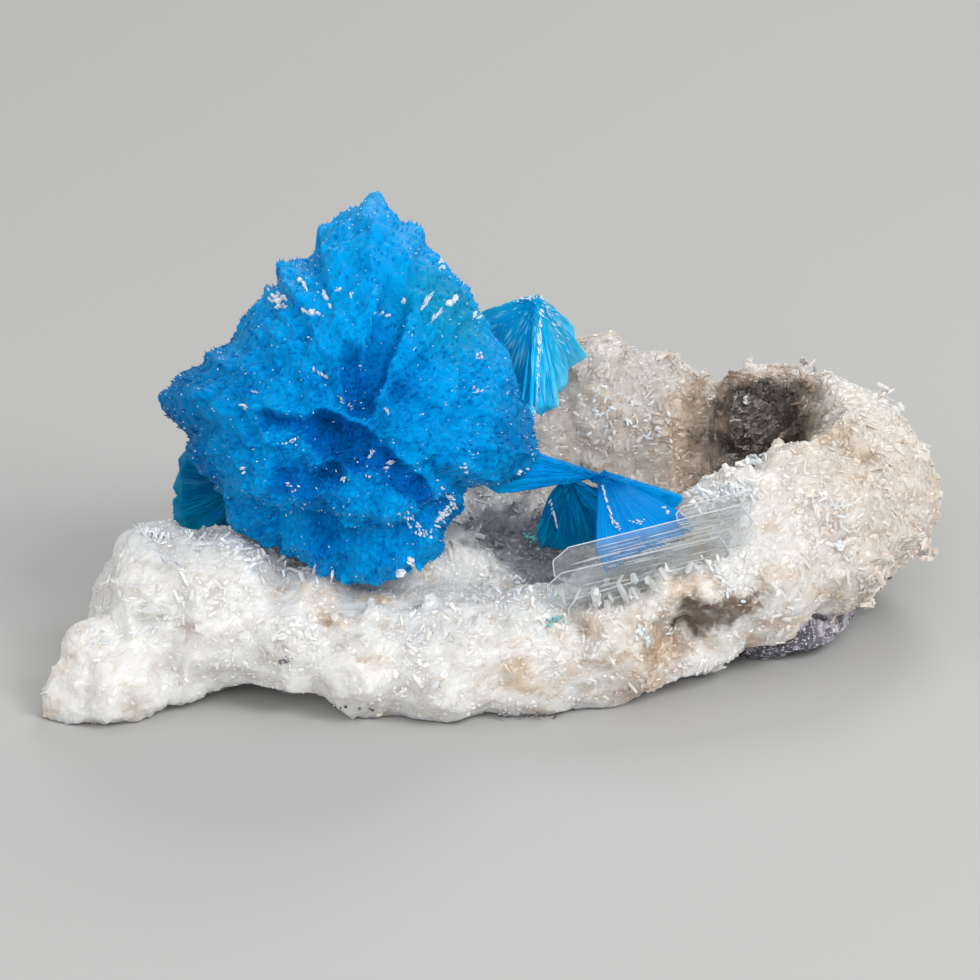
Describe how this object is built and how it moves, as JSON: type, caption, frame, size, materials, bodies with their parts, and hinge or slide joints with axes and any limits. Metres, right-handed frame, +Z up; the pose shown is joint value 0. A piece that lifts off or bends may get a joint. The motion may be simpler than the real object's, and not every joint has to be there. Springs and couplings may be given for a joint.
{
  "type": "cavansite specimen",
  "caption": "Miniature mineral specimen: a blue cavansite rosette and small sprays on a cream stilbite druse that bends round a hollow, over dark basalt.",
  "frame": {"origin": "centre of the specimen's box, on the surface that it rests on", "axes": "+X to the right along the front ridge as the picture shows it, +Y away from the front, +Z up"},
  "size_m": [0.0474, 0.0294, 0.0237],
  "materials": {
    "basalt": "dull dark grey with a purple tint, fine grained",
    "cream_stilbite": "pearly cream to white crystals, tan in the crevices",
    "clear_stilbite": "clear to milky tablets with a pearly face",
    "blue_cavansite": "vitreous deep azure blades",
    "pale_cavansite": "silky light cyan-blue blades",
    "teal_cavansite": "vitreous dark teal blades"
  },
  "bodies": {
    "root": {"basalt_host": "basalt", "stilbite_druse": "cream_stilbite", "stilbite_clear_tablets": "clear_stilbite", "cavansite_rosette": "blue_cavansite", "cavansite_rear_spray": "pale_cavansite", "cavansite_arm_spray": "blue_cavansite", "cavansite_hollow_spray": "teal_cavansite", "cavansite_left_spray": "teal_cavansite"}
  },
  "joints": []
}
